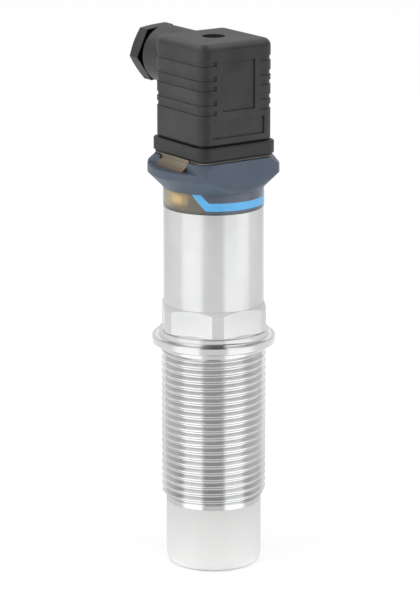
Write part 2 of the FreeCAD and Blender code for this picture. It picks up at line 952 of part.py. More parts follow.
def board_holder():
    """A flange on top of the process connection with two slotted rails that grip the board."""
    body = new_body("board_holder")
    rail_bottom = board_bottom + rail_width
    rail_length = board_top - rail_drop - rail_bottom

    def rails(sketch):
        for side in (-1, 1):
            rectangle(sketch, rail_width / 2, rail_width * 0.8, (board_half - rail_width * 0.05) * side, 0)

    raise_from(body, "flange", tube_spigot_top, holder_flange,
               lambda sketch: circle(sketch, tube_bore - fit_gap * 3))
    cut_from(body, "flange_hole", tube_spigot_top, holder_flange,
             lambda sketch: circle(sketch, board_half - rail_width / 2))
    raise_from(body, "rails", rail_bottom, rail_length, rails)
    cut_from(body, "slot", rail_bottom, rail_length, lambda sketch: rectangle(
        sketch, board_half + fit_gap, board_thickness / 2 + fit_gap))


def main_board():
    body = new_body("main_board")
    raise_from(body, "board", board_bottom, board_top - board_bottom, lambda sketch: rectangle(
        sketch, board_half, board_thickness / 2))


def board_parts():
    """The larger parts on both faces of the main board."""
    body = new_body("board_parts")
    face = board_thickness / 2
    # Each row: centre across the board, half width, height above the board's foot, half height,
    # thickness, and the side of the board.
    rows = [
        (0, 3.5, 16, 3.5, 1.1, 1),
        (-1.5, 2.5, 34, 2.5, 1.0, 1),
        (3.5, 2.0, 6.5, 1.3, 1.4, 1),
        (0, 4.0, 42.5, 2.2, 2.2, -1),
        (2.5, 2.5, 22, 2.5, 1.0, -1),
        (-4.5, 1.5, 10, 2.6, 2.6, -1),
    ]
    for number, (across, half, rise, half_height, thickness, side) in enumerate(rows, 1):
        start = face if side > 0 else -face - thickness
        raise_from(body, f"part_{number}", start, thickness, lambda sketch: rectangle(
            sketch, half, half_height, across, board_bottom + rise), "XZ_Plane")


def led_board():
    """A round board on the ring's ledge that carries the lamps round the main board."""
    body = new_body("led_board")
    raise_from(body, "disc", ring_ledge, led_board_thickness,
               lambda sketch: circle(sketch, ring_bore - slide_gap))
    cut_from(body, "slot", ring_ledge, led_board_thickness, lambda sketch: rectangle(
        sketch, board_half + slide_gap, board_thickness / 2 + slide_gap))


def status_leds():
    body = new_body("status_leds")
    lamp = raise_from(body, "lamp", led_board_top, led_height, lambda sketch: rectangle(
        sketch, led_height, led_height * 0.7, 0, -((window_back + guide_front) / 2)))
    pattern(body, "six_lamps", [lamp], 6, 360)


# Gasket

def profile_gasket():
    """The rubber seal: a floor with openings for blades and boss inside a raised lip."""
    body = new_body("profile_gasket")
    raise_from(body, "pad", plate_top, gasket_height, lambda sketch: rectangle(
        sketch, gasket_half, gasket_half, 0, 0, gasket_rounding))
    soften(body, "rim_round", gasket_edge, lambda edge: level(gasket_top)(edge) or level(plate_top)(edge))
    cut_from(body, "recess", gasket_floor, gasket_top - gasket_floor, lambda sketch: rectangle(
        sketch, gasket_inside, gasket_inside, 0, 0, plug_rounding - slide_gap))

    def openings(sketch):
        long_half = blade_width / 2 + slide_gap
        short_half = blade_thickness / 2 + slide_gap
        circle(sketch, boss_radius + slide_gap)
        for side in (-1, 1):
            rectangle(sketch, short_half, long_half, blade_circle * side, 0)
            rectangle(sketch, long_half, short_half, 0, blade_circle * side)

    cut_from(body, "openings", plate_top, gasket_floor_height, openings)


# Plug

def plug_housing():
    """The moulded plug housing with its gland neck, grip grooves, recessed panels and screw well."""
    body = new_body("plug_housing")
    raise_from(body, "case", plug_bottom, plug_height, lambda sketch: rectangle(
        sketch, plug_half, plug_half, 0, 0, plug_rounding))
    soften(body, "top_round", plug_edge, level(plug_top))
    raise_from(body, "foot", foot_bottom, plug_bottom - foot_bottom, lambda sketch: rectangle(
        sketch, foot_half, foot_half, 0, 0, plug_rounding - foot_inset))
    raise_from(body, "gland_neck", -gland_end, gland_reach + plug_wall,
               lambda sketch: circle(sketch, gland_radius, 0, gland_height), "YZ_Plane")
    cut_from(body, "chamber", foot_bottom, chamber_top - foot_bottom, lambda sketch: rectangle(
        sketch, chamber_half, chamber_half, 0, 0, chamber_rounding))
    raise_from(body, "screw_sleeve", sleeve_bottom, chamber_top - sleeve_bottom,
               lambda sketch: circle(sketch, sleeve_radius))
    cut_from(body, "well", well_floor, plug_top - well_floor, lambda sketch: circle(sketch, well_radius))
    cut_from(body, "screw_hole", sleeve_bottom, sleeve_floor,
             lambda sketch: circle(sketch, screw_hole_radius))
    cut_from(body, "gland_bore", -gland_end, gland_end - gland_ledge,
             lambda sketch: circle(sketch, gland_bore, 0, gland_height), "YZ_Plane")
    cut_from(body, "cable_hole", -gland_ledge, gland_ledge - chamber_half + fit_gap,
             lambda sketch: circle(sketch, cable_radius, 0, gland_height), "YZ_Plane")
    inner = plug_half - groove_depth
    outer = plug_half + plug_wall

    def grip(sketch):
        corner = plug_rounding - groove_depth
        for side in (-1, 1):
            outline(sketch, [
                (-outer, groove_end * side),
                (-inner, groove_end * side),
                (-inner, inner * side, corner),
                (inner, inner * side, corner),
                (inner, groove_end * side),
                (outer, groove_end * side),
                (outer, outer * side),
                (-outer, outer * side),
            ])

    centre = plug_top - groove_drop
    steps = (groove_wide_step, groove_narrow_step, groove_wide_step, groove_narrow_step, as_size(0))
    for number, step in enumerate(steps, 1):
        cut_from(body, f"grip_groove_{number}", centre - groove_height / 2, groove_height, grip)
        centre = centre - step
    panel_centre = plug_top - panel_drop - panel_height / 2
    low_panel_centre = plug_bottom + low_panel_rise + low_panel_height / 2
    panel_floor = plug_half - panel_depth
    cut_from(body, "panel", panel_floor, panel_depth, lambda sketch: rectangle(
        sketch, panel_half, panel_height / 2, 0, panel_centre), "YZ_Plane")
    cut_from(body, "low_panel", panel_floor, panel_depth, lambda sketch: rectangle(
        sketch, low_panel_half, low_panel_height / 2, 0, low_panel_centre), "YZ_Plane")


def contact_block():
    """The insulating block of the plug, with a chamber for each of the four sockets."""
    body = new_body("contact_block")
    half = chamber_half - fit_gap
    raise_from(body, "block", block_bottom, block_height, lambda sketch: rectangle(
        sketch, half, half, 0, 0, chamber_rounding))
    cut_from(body, "screw_hole", block_bottom, block_height, lambda sketch: circle(sketch, screw_hole_radius))
    cut_from(body, "boss_recess", block_bottom, boss_top + slide_gap - block_bottom,
             lambda sketch: circle(sketch, boss_radius + slide_gap))

    def chambers(depth):
        """Four pockets whose outer walls lie just outside the sockets."""
        outside = socket_outer + fit_gap * 2
        width = socket_half + fit_gap * 2

        def draw(sketch):
            for side in (-1, 1):
                rectangle(sketch, depth / 2, width, (outside - depth / 2) * side, 0)
                rectangle(sketch, width, depth / 2, 0, (outside - depth / 2) * side)

        return draw

    cut_from(body, "socket_chambers", block_bottom, socket_top - block_bottom,
             chambers(socket_thickness + fit_gap * 4))
    cut_from(body, "clamp_chambers", socket_top, block_top - socket_top, chambers(clamp_depth + fit_gap * 4))


def socket_contacts():
    """Four sockets that spring onto the blades, each with a solid clamp for the core of the cable."""
    body = new_body("socket_contacts")
    socket = raise_from(body, "socket", socket_bottom, socket_height, lambda sketch: rectangle(
        sketch, socket_thickness / 2, socket_half, blade_circle, 0))
    clamp = raise_from(body, "clamp", socket_top, clamp_height, lambda sketch: rectangle(
        sketch, clamp_depth / 2, socket_half, socket_outer - clamp_depth / 2, 0))
    slot = cut_from(body, "blade_slot", socket_bottom, socket_height, lambda sketch: rectangle(
        sketch, blade_thickness / 2 + fit_gap / 2, blade_width / 2 + fit_gap / 2, blade_circle, 0))
    hole = cut_from(body, "screw_bore", clamp_top - clamp_height * 0.8, clamp_height * 0.8,
                    lambda sketch: circle(sketch, screw_radius + fit_gap * 2, terminal_place))
    pattern(body, "four_sockets", [socket, clamp, slot, hole], 4, 360)


def terminal_screws():
    body = new_body("terminal_screws")
    length = clamp_height * 0.75
    head = raise_from(body, "head", clamp_top, terminal_head_height, lambda sketch: circle(
        sketch, terminal_head_radius, terminal_place))
    shank = raise_from(body, "shank", clamp_top - length, length,
                       lambda sketch: circle(sketch, screw_radius, terminal_place))
    slot = cut_from(body, "slot", clamp_top + terminal_head_height / 2, terminal_head_height / 2,
                    lambda sketch: rectangle(sketch, terminal_head_radius, driver_slot / 2, terminal_place))
    pattern(body, "four_screws", [head, shank, slot], 4, 360)


def screw_washer():
    body = new_body("screw_washer")
    bore = screw_radius + fit_gap * 2
    turn(body, "washer", [
        (bore, well_floor),
        (washer_radius, well_floor),
        (washer_radius, well_floor + screw_washer_height),
        (bore, well_floor + screw_washer_height),
    ])


def centre_screw():
    """The cheese-head screw that clamps the plug down, slotted for a screwdriver."""
    body = new_body("centre_screw")
    seat = well_floor + screw_washer_height + fit_gap
    top = seat + screw_head_height
    point = screw_radius / 4
    turn(body, "screw", [
        (0, screw_end),
        (screw_radius - point, screw_end),
        (screw_radius, screw_end + point),
        (screw_radius, seat),
        (screw_head_radius, seat),
        (screw_head_radius, top - point),
        (screw_head_radius - point, top),
        (0, top),
    ])
    cut_from(body, "driver_slot", top - screw_head_height / 2, screw_head_height / 2,
             lambda sketch: rectangle(sketch, screw_head_radius + fit_gap, driver_slot / 2))


# Cable gland, each piece turned about its own Z axis and laid along -X

def lay_along_gland(body, own_turn=0):
    """Lay a piece along -X, after a turn of so many degrees about its own axis."""
    turned = Rotation(Vector(0, 1, 0), -90) * Rotation(Vector(0, 0, 1), own_turn)
    body.Placement = Placement(Vector(0, 0, gland_height.value), turned)
    body.setExpression("Placement.Base.z", gland_height.text)


def gland_seal():
    body = new_body("gland_seal")
    bore = cable_radius - seal_squeeze
    turn(body, "bush", [
        (bore, gland_ledge),
        (seal_radius, gland_ledge),
        (seal_radius, gland_ledge + seal_length),
        (bore, gland_ledge + seal_length),
    ])
    lay_along_gland(body)


def gland_washer():
    body = new_body("gland_washer")
    turn(body, "thrust_ring", [
        (cable_radius, thrust_start),
        (seal_radius, thrust_start),
        (seal_radius, thrust_start + thrust_length),
        (cable_radius, thrust_start + thrust_length),
    ])
    lay_along_gland(body)


def gland_nut():
    """The hexagonal pressure screw of the gland with its bored shank.

    Its corners stand 5 degrees off the level, where the nut came to a stop when it was tightened.
    """
    body = new_body("gland_nut")
    top = nut_seat + nut_height
    corner = nut_across_flats / (2 * HALF_ACROSS)
    turn(body, "blank", [
        (cable_radius, shank_end),
        (shank_radius - nut_edge, shank_end),
        (shank_radius, shank_end + nut_edge),
        (shank_radius, nut_seat),
        (corner, nut_seat),
        (corner, top - nut_edge),
        (corner - nut_edge * 2, top),
        (cable_radius + nut_edge, top),
        (cable_radius, top - nut_edge),
    ])

    def flats(sketch):
        circle(sketch, corner * 1.5)
        hexagon(sketch, nut_across_flats)

    cut_from(body, "hexagon", nut_seat, nut_height, flats)
    lay_along_gland(body, -5)


sensor_cap()
o_ring("sensor_o_ring", spigot_radius - seal_depth, spigot_radius + fit_gap, tip_seal_height)
active_electrode()
electrode_carrier()
guard_electrode()
probe_lead()
process_connection()
housing_tube()
light_ring(stripe_band())
o_ring("ring_o_ring", tube_bore - fit_gap - ring_seal_depth, tube_bore, ring_seal_height)
head_cover()
lamp_window()
pin_base()
contact_blades()
earth_blade()
thread_insert()
connector_leads()
board_holder()
main_board()
board_parts()
led_board()
status_leds()
profile_gasket()
plug_housing()
contact_block()
socket_contacts()
terminal_screws()
screw_washer()
centre_screw()
gland_seal()
gland_washer()
gland_nut()

document.recompute()

for item in document.Objects:
    if "Invalid" in item.State or "Error" in item.State:
        raise ValueError(f"{item.Label} failed: {item.State}")
for item in sub_parts:
    if item.Shape.isNull() or not item.Shape.isValid():
        raise ValueError(f"{item.Label} has no valid shape")

os.makedirs("parts", exist_ok=True)
for item in sub_parts:
    item.Shape.exportStep(f"parts/{item.Label}.step")
    box = item.Shape.BoundBox
    print(f"{item.Label}: {len(item.Shape.Solids)} solid(s), {item.Shape.Volume:.1f} mm3, "
          f"z {box.ZMin:.2f} to {box.ZMax:.2f}")
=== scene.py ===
# %% [markdown]
# # A capacitive level switch
#
# The object is a rod-type level switch as it is screwed into the wall of a tank: a white plastic tip,
# a stainless body with a pipe thread, a smoked light ring, a flared cover and a black square plug.
# Its solids come from the CAD model and are already in place, in metres, with the origin in the
# centre of the tip's flat end and +Z up the rod. What is left for Blender is the way it looks:
# the finishes, the thread of the gland's nut, the floor, the light and the camera.

# %% Load the frame
import math

import bpy
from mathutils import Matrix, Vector


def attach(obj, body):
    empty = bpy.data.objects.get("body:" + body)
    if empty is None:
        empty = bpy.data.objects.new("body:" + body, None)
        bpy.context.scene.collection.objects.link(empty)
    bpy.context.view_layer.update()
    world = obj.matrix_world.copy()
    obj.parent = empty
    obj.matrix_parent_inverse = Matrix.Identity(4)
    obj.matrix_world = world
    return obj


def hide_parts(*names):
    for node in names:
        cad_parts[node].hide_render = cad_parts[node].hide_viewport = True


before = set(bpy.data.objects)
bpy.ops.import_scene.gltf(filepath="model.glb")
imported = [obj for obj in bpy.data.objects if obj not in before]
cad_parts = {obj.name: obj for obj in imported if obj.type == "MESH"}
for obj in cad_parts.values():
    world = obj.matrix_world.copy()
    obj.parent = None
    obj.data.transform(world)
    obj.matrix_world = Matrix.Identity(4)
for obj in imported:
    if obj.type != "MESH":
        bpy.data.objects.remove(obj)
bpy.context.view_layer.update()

# %% [markdown]
# ## Colours
#
# Colours are easiest to read off and compare as sRGB hex values, as a paint chart or a photo editor
# gives them. Shaders work on linear light, so one function converts them.

# %% From hex to linear


def linear(hex_colour):
    """Turn an sRGB colour such as "d8d8d6" into linear red, green, blue and alpha."""
    channels = [int(hex_colour[start:start + 2], 16) / 255 for start in (0, 2, 4)]
    return [c / 12.92 if c <= 0.04045 else ((c + 0.055) / 1.055) ** 2.4 for c in channels] + [1.0]


print("mid grey in linear light:", [round(c, 3) for c in linear("808080")])

# %% [markdown]
# ## The camera
#
# The photo was taken with a long lens from about a metre away: the edges of the tube are almost
# parallel, yet the rings low on the rod look rounder than those near the top. The camera stands 55
# degrees round from the lamp window's side and 14.5 degrees above the horizon, so the window's side
# and the side with the two panels both show.

# %% Set up the camera
MM = 0.001
FRAME_HEIGHT_PX = 600
FOCAL_LENGTH_PX = 3083.4
SENSOR_MM = 36.0
CAMERA_AZIMUTH = math.radians(55.3)
CAMERA_ELEVATION = math.radians(14.47)
CAMERA_DISTANCE = 976.4 * MM
TARGET = Vector((0, 0, 86.03 * MM))
SIDE_SHIFT_PX = 3.6

camera_data = bpy.data.cameras.new("camera")
camera_data.sensor_fit = "VERTICAL"
camera_data.sensor_height = SENSOR_MM
camera_data.lens = FOCAL_LENGTH_PX * SENSOR_MM / FRAME_HEIGHT_PX
camera_data.shift_x = -SIDE_SHIFT_PX / FRAME_HEIGHT_PX
camera_data.clip_start = 0.01
camera = bpy.data.objects.new("camera", camera_data)
bpy.context.scene.collection.objects.link(camera)
toward_camera = Vector((
    math.sin(CAMERA_AZIMUTH) * math.cos(CAMERA_ELEVATION),
    -math.cos(CAMERA_AZIMUTH) * math.cos(CAMERA_ELEVATION),
    math.sin(CAMERA_ELEVATION),
))
camera.location = TARGET + toward_camera * CAMERA_DISTANCE
camera.rotation_euler = toward_camera.to_track_quat("Z", "Y").to_euler()
bpy.context.scene.camera = camera
print("camera at", [round(v, 3) for v in camera.location], "lens", round(camera_data.lens, 1), "mm")

# %% [markdown]
# ## Nodes in one line each
#
# Every finish below is a small network of shader nodes. A single helper adds a node, sets its
# properties and input values, and links its inputs, so that a material reads like a recipe.

# %% The node helper


def add_node(tree, kind, settings=None, links=None):
    """Add a node; settings are properties or input values by name, links are inputs by name."""
    node = tree.nodes.new("ShaderNode" + kind)
    for name, value in (settings or {}).items():
        if isinstance(name, int) or name in node.inputs:
            node.inputs[name].default_value = value
        else:
            setattr(node, name, value)
    for name, source in (links or {}).items():
        tree.links.new(source, node.inputs[name])
    return node


def new_material(name):
    """A new material and its node tree, still empty."""
    material = bpy.data.materials.new(name)
    material.use_nodes = True
    material.node_tree.nodes.clear()
    return material, material.node_tree


print("node helper ready")

# %% [markdown]
# ## Patterns with a real size
#
# Marks on a real surface have a real spacing, so the helpers for noise and relief take millimetres.
# They read the place of a point on its piece, which is also how a mask or a run of colours along the
# rod is made: no unwrapping is needed, and the marks stay where they are when a piece moves.

# %% Noise, places and colours


def position(tree):
    """The place of a point on its piece, in metres, as separate X, Y and Z."""
    where = add_node(tree, "TexCoord")
    return add_node(tree, "SeparateXYZ", links={"Vector": where.outputs["Object"]}).outputs


def grain(tree, spacing_mm, detail=3.0, stretch=(1, 1, 1)):
    """Noise whose features are about spacing_mm apart, finer along an axis with a higher stretch."""
    where = add_node(tree, "TexCoord")
    scale = tuple(part / (spacing_mm * MM) for part in stretch)
    place = add_node(tree, "Mapping", {"Scale": scale}, {"Vector": where.outputs["Object"]})
    return add_node(tree, "TexNoise", {"Scale": 1.0, "Detail": detail, "Roughness": 0.55},
                    {"Vector": place.outputs[0]}).outputs["Fac"]


def two_tones(tree, factor, first, second, start=0.35, end=0.65):
    """A colour that drifts between two hex colours."""
    ramp = add_node(tree, "ValToRGB", links={"Fac": factor})
    ramp.color_ramp.elements[0].position = start
    ramp.color_ramp.elements[1].position = end
    ramp.color_ramp.elements[0].color = linear(first)
    ramp.color_ramp.elements[1].color = linear(second)
    return ramp.outputs["Color"]


def by_height(tree, bands):
    """A colour for each height; the bands are pairs of millimetres and hex, from low to high."""
    low, high = bands[0][0], bands[-1][0]
    rise = add_node(tree, "MapRange", {"From Min": low * MM, "From Max": high * MM},
                    {"Value": position(tree)["Z"]})
    ramp = add_node(tree, "ValToRGB", links={"Fac": rise.outputs[0]})
    while len(ramp.color_ramp.elements) < len(bands):
        ramp.color_ramp.elements.new(0.5)
    for element, (height, colour) in zip(ramp.color_ramp.elements, bands):
        element.position = (height - low) / (high - low)
        element.color = linear(colour)
    return ramp.outputs["Color"]


def relief(tree, height, depth_mm, edge_mm=0.0):
    """Bump of a real depth over edges rounded by a real radius."""
    settings = {"Strength": 1.0, "Distance": depth_mm * MM}
    links = {"Height": height}
    if edge_mm:
        rounded = add_node(tree, "Bevel", {"samples": 6, "Radius": edge_mm * MM})
        links["Normal"] = rounded.outputs[0]
    return add_node(tree, "Bump", settings, links).outputs[0]


print("one pixel of the picture is", round(CAMERA_DISTANCE / MM / FOCAL_LENGTH_PX, 2), "mm on the part")

# %% [markdown]
# ## Dressing a CAD node
#
# A CAD node keeps its mesh; only its material slots get a new material. The smoothing of the mesh
# comes with it, so nothing else has to change.

# %% Hand a material to CAD nodes


def dress(material, *names):
    for name in names:
        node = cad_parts[name]
        if not node.material_slots:
            node.data.materials.append(material)
        for slot in node.material_slots:
            slot.material = material
    print(material.name, "on", ", ".join(names))


print(len(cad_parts), "CAD nodes to dress")

# %% [markdown]
# ## The sensing tip
#
# The tip is turned from a white fluoropolymer, which barely takes up moisture. It is dense and slightly
# waxy: light enters a little way and comes out softened, and the tool leaves a very fine, dull sheen. So
# the shader is a near-white base with a short subsurface radius, a broad highlight, and turning lines that
# hardly show. The lines are drawn coarser than the tool leaves them, about a pixel apart. The colour
# carries painted light and shade: it is painted greyer towards the steel and paler towards the foot, where
# the white floor lights the tip, with an uneven border. Two heights in millimetres say where the tip is
# greyest and palest, and noise moves them a little.

# %% White fluoropolymer, turned
PAINTED_SHADE_AT = 23.0
PAINTED_LIGHT_AT = 1.0
BORDER_DRIFT = 3.0


def white_fluoropolymer():
    material, tree = new_material("White fluoropolymer, turned")
    lines = grain(tree, 0.9, stretch=(0.05, 0.05, 3.0))
    drift = add_node(tree, "Math", {"operation": "MULTIPLY_ADD", 1: BORDER_DRIFT * MM},
                     {0: grain(tree, 9.0), 2: position(tree)["Z"]})
    # Painted light and shade: greyer towards the steel, paler towards the foot, where the white floor
    # lights the tip.
    painted_light_and_shade = add_node(tree, "MapRange", {"From Min": PAINTED_SHADE_AT * MM, "From Max": PAINTED_LIGHT_AT * MM},
                     {"Value": drift.outputs[0]})
    sheen = add_node(tree, "MapRange", {"To Min": 0.44, "To Max": 0.54}, {"Value": lines})
    shader = add_node(tree, "BsdfPrincipled", {
        "IOR": 1.36,
        "Subsurface Weight": 0.12,
        "Subsurface Radius": (1.0, 0.95, 0.9),
        "Subsurface Scale": 0.8 * MM,
    }, {
        "Base Color": two_tones(tree, painted_light_and_shade.outputs[0], "d3d3d2", "efefee", 0.0, 1.0),
        "Roughness": sheen.outputs[0],
        "Normal": relief(tree, lines, 0.01),
    })
    add_node(tree, "OutputMaterial", links={"Surface": shader.outputs[0]})
    return material


dress(white_fluoropolymer(), "sensor_cap")

# %% [markdown]
# ## Stainless steel
#
# The process connection is turned from bar on a lathe, so its surface carries rings a tenth of a
# millimetre apart, and highlights stretch across them. The tube above is ground and brighter. Both
# are the same alloy with the same colour; only the marks and the roughness differ. The rings are
# drawn coarser than they are, because a tenth of a millimetre is a third of a pixel here. The bevel
# on the hexagon's corners is blasted, so it is pale and matt, and mirrors next to nothing. A mask
# finds it by its height and its slope.

# %% Turned and ground stainless steel
BEVEL_MIDDLE = 85.4
BEVEL_REACH = 0.6
BEVEL_NORMAL_RISE = 0.5
BLASTED_ROUGHER = 0.6
BLASTED_LESS_METALLIC = 0.9


def corner_bevel(tree):
    """1 on the bevel at the top of the hexagon's corners, 0 elsewhere."""
    where = add_node(tree, "TexCoord")
    slope = add_node(tree, "SeparateXYZ", links={"Vector": where.outputs["Normal"]})
    near = add_node(tree, "Math", {"operation": "COMPARE", 1: BEVEL_MIDDLE * MM, 2: BEVEL_REACH * MM},
                    {0: position(tree)["Z"]})
    sloping = add_node(tree, "Math", {"operation": "GREATER_THAN", 1: BEVEL_NORMAL_RISE},
                       {0: slope.outputs["Z"]})
    both = {0: near.outputs[0], 1: sloping.outputs[0]}
    return add_node(tree, "Math", {"operation": "MULTIPLY"}, both).outputs[0]


def stainless(name, roughness_low, roughness_high, line_mm, depth_mm):
    material, tree = new_material(name)
    lines = grain(tree, line_mm, detail=4.0, stretch=(0.02, 0.02, 4.0))
    polished = add_node(tree, "MapRange", {"To Min": roughness_low, "To Max": roughness_high},
                        {"Value": lines})
    bevel = corner_bevel(tree)
    dulled = add_node(tree, "Math", {"operation": "MULTIPLY_ADD", 1: BLASTED_ROUGHER},
                      {0: bevel, 2: polished.outputs[0]})
    mirror = add_node(tree, "Math", {"operation": "MULTIPLY_ADD", 1: -BLASTED_LESS_METALLIC, 2: 1.0},
                      {0: bevel})
    clouds = grain(tree, 14.0, detail=2.0)
    ring = add_node(tree, "Tangent", {"direction_type": "RADIAL", "axis": "Z"})
    shader = add_node(tree, "BsdfPrincipled", {
        "Anisotropic": 0.85,
        "Anisotropic Rotation": 0.25,
    }, {
        "Base Color": two_tones(tree, clouds, "cfd0d0", "d6d6d6"),
        "Metallic": mirror.outputs[0],
        "Roughness": dulled.outputs[0],
        "Normal": relief(tree, lines, depth_mm, 0.12),
        "Tangent": ring.outputs[0],
    })
    add_node(tree, "OutputMaterial", links={"Surface": shader.outputs[0]})
    return material


dress(stainless("Stainless steel, turned", 0.16, 0.24, 0.8, 0.003), "process_connection")
dress(stainless("Stainless steel, ground", 0.25, 0.28, 0.5, 0.00025), "housing_tube")

# %% [markdown]
# ## The light ring
#
# The ring is moulded from clear polycarbonate with a little smoky dye. In front of the lamps, between the
# slanted ends of the stripe, it stays clear, and the painted glow of the window's light guide shows
# through it.
# Everywhere else it is backed with the slate blue of the cover. So one shader shows two finishes, and
# a mask, worked out from the place on the ring, tells them apart: each slanted edge is a height and a
# half width at its foot, and the same at its top. The stripe is the same plastic with an opaque light
# blue pigment, moulded flush with the ring.

# %% Smoked polycarbonate and the blue stripe
POLYCARBONATE_IOR = 1.585
CLEAR_FOOT = 118.3
CLEAR_TOP = 123.4
HALF_WIDTH_AT_FOOT = 11.6
HALF_WIDTH_AT_TOP = 7.97


def backed_field(tree):
    """1 where the ring is backed with colour, 0 at its clear front."""
    here = position(tree)
    half_width = add_node(tree, "MapRange", {
        "From Min": CLEAR_FOOT * MM,
        "From Max": CLEAR_TOP * MM,
        "To Min": HALF_WIDTH_AT_FOOT * MM,
        "To Max": HALF_WIDTH_AT_TOP * MM,
    }, {"Value": here["Z"]})
    aside = add_node(tree, "Math", {"operation": "ABSOLUTE"}, {0: here["X"]})
    beside = add_node(tree, "Math", {"operation": "GREATER_THAN"},
                      {0: aside.outputs[0], 1: half_width.outputs[0]})
    behind = add_node(tree, "Math", {"operation": "GREATER_THAN", 1: 0.0}, {0: here["Y"]})
    either = {0: beside.outputs[0], 1: behind.outputs[0]}
    return add_node(tree, "Math", {"operation": "MAXIMUM"}, either).outputs[0]


def smoked_polycarbonate():
    material, tree = new_material("Polycarbonate, smoked clear")
    backed = backed_field(tree)
    haze = add_node(tree, "MapRange", {"To Min": 0.20, "To Max": 0.26}, {"Value": grain(tree, 0.8)})
    let_through = add_node(tree, "MapRange", {"To Min": 0.92, "To Max": 0.05}, {"Value": backed})
    shader = add_node(tree, "BsdfPrincipled", {
        "IOR": POLYCARBONATE_IOR,
        "Coat Weight": 0.6,
        "Coat IOR": POLYCARBONATE_IOR,
        "Coat Roughness": 0.04,
    }, {
        "Base Color": two_tones(tree, backed, "bfad88", "2f3e54"),
        "Roughness": haze.outputs[0],
        "Transmission Weight": let_through.outputs[0],
        "Normal": relief(tree, grain(tree, 4.0), 0.01, 0.1),
    })
    add_node(tree, "OutputMaterial", links={"Surface": shader.outputs[0]})
    return material


def blue_polycarbonate():
    material, tree = new_material("Polycarbonate, light blue")
    sheen = add_node(tree, "MapRange", {"To Min": 0.22, "To Max": 0.30}, {"Value": grain(tree, 0.6)})
    shader = add_node(tree, "BsdfPrincipled", {
        "IOR": POLYCARBONATE_IOR,
    }, {
        "Base Color": two_tones(tree, grain(tree, 5.0), "4fa9e2", "5ab2ea"),
        "Roughness": sheen.outputs[0],
    })
    add_node(tree, "OutputMaterial", links={"Surface": shader.outputs[0]})
    return material


dress(smoked_polycarbonate(), "light_ring")
dress(blue_polycarbonate(), "stripe_band")

# %% [markdown]
# ## The cover
#
# The cover is moulded from glass-filled polyester in a slate blue. The mould was spark-eroded, which
# leaves an even, very fine orange-peel grain: a satin surface with soft highlights and no gloss. The grain
# is drawn about a pixel wide, coarser than it is, or it wouldn't show. Grooves and inner corners get
# painted shade: the shader asks how much of the sky a point sees within a few millimetres, and darkens the
# colour where it sees little of it. On the cover this also paints a dark line where it meets the plug's
# plate.

# %% Slate blue polyester
SKY_WHEN_SHUT_IN = 0.25
SKY_WHEN_OPEN = 0.7


def moulded(name, first, second, grain_mm=0.35, depth_mm=0.012, rough=(0.42, 0.52), edge_mm=0.25,
            ior=1.5, shade_reach_mm=0.0):
    """An engineering plastic from a grained mould; given a reach for shade, its grooves and inner corners
    get painted shade.
    """
    material, tree = new_material(name)
    fine = grain(tree, grain_mm, detail=4.0)
    sheen = add_node(tree, "MapRange", {"To Min": rough[0], "To Max": rough[1]}, {"Value": fine})
    colour = two_tones(tree, grain(tree, 8.0, detail=5.0), first, second)
    if shade_reach_mm:
        # Painted shade: the colour darkens where a point sees little of the sky within this reach.
        sky = add_node(tree, "AmbientOcclusion", {"samples": 8, "Distance": shade_reach_mm * MM})
        painted_shade_factor = add_node(tree, "MapRange", {"From Min": SKY_WHEN_SHUT_IN, "From Max": SKY_WHEN_OPEN},
                         {"Value": sky.outputs["AO"]})
        colour = add_node(tree, "VectorMath", {"operation": "SCALE"},
                          {0: colour, "Scale": painted_shade_factor.outputs[0]}).outputs[0]
    shader = add_node(tree, "BsdfPrincipled", {
        "IOR": ior,
    }, {
        "Base Color": colour,
        "Roughness": sheen.outputs[0],
        "Normal": relief(tree, fine, depth_mm, edge_mm),
    })
    add_node(tree, "OutputMaterial", links={"Surface": shader.outputs[0]})
    return material


# The cover's painted shade also darkens the line where it meets the plug's plate.
cover_polyester = moulded("Polyester, slate blue, moulded", "465362", "4c5968", edge_mm=0.4,
                          shade_reach_mm=2.8)
dress(cover_polyester, "head_cover")

# %% [markdown]
# ## The lamp window
#
# The window is straw-coloured polycarbonate with a frosted back, and looks milky straw from the front. At
# its lower lip the colour is painted dark honey, as painted shade under a step that the mesh lacks, with a
# dark line of painted shade above it, and a thin orange line there is a painted glint. The colours are a
# list of heights in millimetres, and they are darker towards the gland's side. The foot of its light guide
# gets a painted glow over the lamps, whose lenses give off no light here: a soft patch, which is three
# ramps multiplied together, up from below, down from above and in from both sides.

# %% Straw-coloured polycarbonate
# Painted shade from 129.9 to 130.85 mm and at 131.35 mm, and a painted orange glint from 131.0 to 131.2
# mm.
WINDOW_PAINTED_LIGHT_BANDS = [
    (118.0, "b09a6c"), (128.2, "8a7448"), (129.9, "33251a"), (130.85, "3f2e21"), (131.0, "84583a"),
    (131.2, "6e4a2c"), (131.35, "5c452c"), (131.6, "6c5b40"), (132.6, "857757"), (134.5, "938870"),
]
WINDOW_HALF_WIDTH = 7.5
GLOW_RISES = (118.0, 120.4)
GLOW_FALLS = (123.2, 120.8)
GLOW_NARROWS = (5.2, 1.6)
GLOW_MIDDLE = -1.0
GLOW_STRENGTH = 1.2


